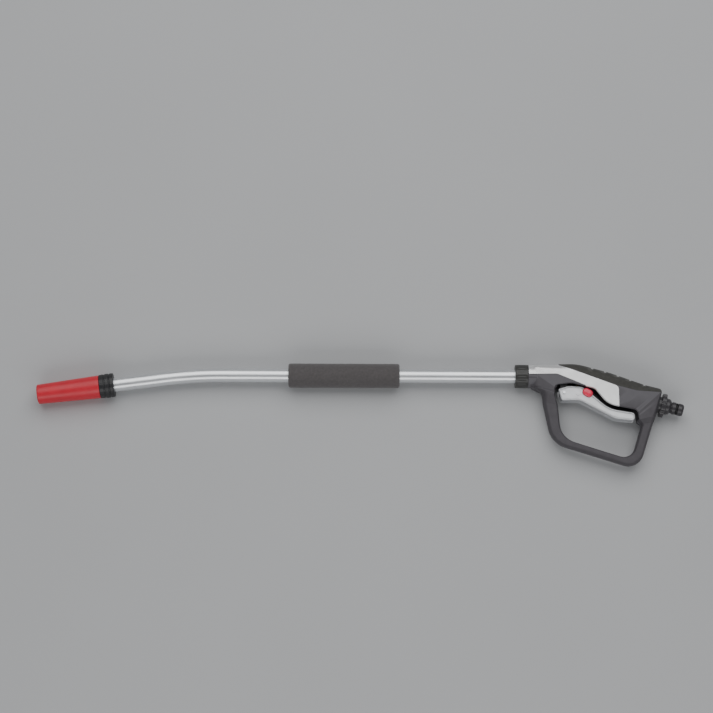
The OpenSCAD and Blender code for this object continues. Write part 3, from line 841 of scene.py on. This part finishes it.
def make_tube():
    """The bent tube as one sweep: straight, arc and straight again, with an open bore."""
    axis = Vector(JOINTS["nozzle_twist"]["axis"])
    bend = math.atan2(-axis.y, -axis.x)
    nozzle = TO_HANDLE @ Vector(JOINTS["nozzle_twist"]["pos_m"])
    radius, straight, rear, inside = 650, 423, 30, 12
    sides = 80
    path = [(Vector((rear, 0, 0)), 0.0)] + [(Vector((-straight * k / 12, 0, 0)), 0.0) for k in range(13)]
    for k in range(1, 13):
        a = bend * k / 12
        path.append((Vector((-straight - radius * math.sin(a), -radius * (1 - math.cos(a)), 0)), a))
    front = Vector((-math.cos(bend), -math.sin(bend), 0))
    path += [(nozzle.lerp(path[-1][0], 1 - k / 4), bend) for k in range(1, 5)]
    path.append((nozzle + front * inside, bend))
    rings = []
    for r, route in ((TUBE_R, path), (BORE_R, path[::-1])):
        for centre, a in route:
            side = Vector((-math.sin(a), math.cos(a), 0))
            turns = [math.tau * k / sides for k in range(sides)]
            rings.append([centre + r * (side * math.cos(t) + UP * math.sin(t)) for t in turns])
    tube = loft("lance_tube_body", rings)
    finish_piece(tube, "handle", "tube_aluminium", ["lance_tube"])


def make_grip():
    """The foam sleeve, with soft rolled ends and the slight unevenness of cut foam."""
    low, high = handle_box("foam_grip")
    r = high.y
    profile = spaced(rounded([
        (low.x, TUBE_R, 0), (low.x, r, 2.6), (high.x, r, 2.6), (high.x, TUBE_R, 0)], 6), 1.6)
    grip = turned("foam_grip_sleeve", profile, HANDLE, 128)
    uneven = 0.16 * MM
    for vertex in grip.data.vertices:
        p = TO_HANDLE @ vertex.co
        radial = Vector((0, p.y, p.z))
        if radial.length > TUBE_R + 0.5:
            wave = noise.fractal(p / 7, 0.8, 2.0, 3)
            vertex.co += radial.normalized() * uneven * (min(0, wave - 0.35))
    finish_piece(grip, "handle", "grip_foam", ["foam_grip"])


# ---- Nozzle ----

COLLAR_LEN = 20
SLEEVE_LEN = 87
BASE_R, TIP_R = 15.9, 13.5
BARREL_R = 11


def make_collar():
    """The black collar with three rings."""
    profile = rounded([
        (0, TUBE_R + 0.05, 0), (0, 16.6, 0.7), (5, 17, 0.7), (5.4, 16.1, 0.3), (6.6, 16.1, 0.3),
        (7, 16.9, 0.6), (12, 16.9, 0.6), (12.4, 16.0, 0.3), (13.6, 16.0, 0.3), (14, 16.7, 0.6),
        (COLLAR_LEN, 16.3, 0.7), (COLLAR_LEN, TUBE_R + 0.05, 0)], 4)
    count, ripple, ring_r = 24, 0.12, 16.4
    shape = lambda s, r, a: r - (ripple * (0.5 + 0.5 * math.cos(count * a)) ** 2 if r > ring_r else 0)
    collar = turned("nozzle_collar_body", spaced(profile, 1.2), NOZZLE, count * 10, shape)
    finish_piece(collar, "handle", "collar_plastic", ["nozzle_collar"])


def make_sleeve():
    """The red tapered sleeve, open at the tip for the spray plate."""
    start, end, rim = COLLAR_LEN + 0.3, COLLAR_LEN + SLEEVE_LEN, 10.6
    profile = rounded([
        (start, BARREL_R + 0.05, 0), (start, BASE_R - 0.2, 0.5), (start + 1.4, BASE_R, 0.4),
        (end, TIP_R, 1.8), (end, rim, 0.6), (end - 9, rim, 0), (end - 9, 9, 0), (64, 9, 0),
        (64, BARREL_R + 0.05, 0)], 6)
    sleeve = turned("nozzle_sleeve_body", spaced(profile, 4), NOZZLE, 128)
    finish_piece(sleeve, "nozzle", "sleeve_plastic", ["nozzle_sleeve"])


# ---- Hose inlet ----

FLANGE_R = handle_box("inlet_adapter")[1].z
LOBES = 8


def make_inlet():
    """The lobed flange, its shoulder and the stepped plug with its O-ring groove."""
    plug_r, core_r, groove_r = 8.6, 7.4, 6.5
    profile = rounded([
        (-20, 5, 0), (-20, 10, 0), (-6, 10, 0), (-6, 11.4, 0), (-3, 11.4, 0), (-3, FLANGE_R, 0.9),
        (3, FLANGE_R, 0.9), (3, 12.2, 0.4), (4, 11.2, 0.5), (8.2, 11.2, 1.2), (11.6, core_r, 0.5),
        (12.4, core_r, 0.3), (12.9, plug_r, 0.3), (17.4, plug_r, 0.4), (18.2, core_r, 0.2),
        (18.2, groove_r, 0), (20.6, groove_r, 0), (20.6, core_r, 0.2), (21.2, plug_r, 0.4),
        (26.2, plug_r, 0.6), (28.7, 7.2, 0.4), (28.7, 5, 0)], 4)

    def scalloped(s, r, a):
        """Eight scallops of radius 3.4 bite into the flange's rim."""
        off = (a + math.pi / LOBES) % (math.tau / LOBES) - math.pi / LOBES
        centre, bite = FLANGE_R + 1.2, 3.4
        inside_rim, flange_end = 12.5, 3.5
        if r < inside_rim or s > flange_end:
            return r
        inside = bite ** 2 - (centre * math.sin(off)) ** 2
        return r if inside <= 0 else min(r, centre * math.cos(off) - math.sqrt(inside))

    inlet = turned("inlet_adapter_body", spaced(profile, 1.5), INLET, LOBES * 32, scalloped)
    finish_piece(inlet, "handle", "inlet_plastic", ["inlet_adapter"])


# ---- CAD nodes that stay get their material here; the replaced ones are hidden ----


def dress_cad_nodes():
    """Each CAD node gets the finish of its own material slot."""
    for name, node in frame["nodes"].items():
        node.data.materials.clear()
        node.data.materials.append(FINISHES[SLOT_OF[name]])


add_camera()
add_lights()
add_floor()
dress_cad_nodes()
make_shells()
make_trim()
make_pad()
make_trigger()
make_button()
make_nut()
make_tube()
make_grip()
make_collar()
make_sleeve()
make_inlet()
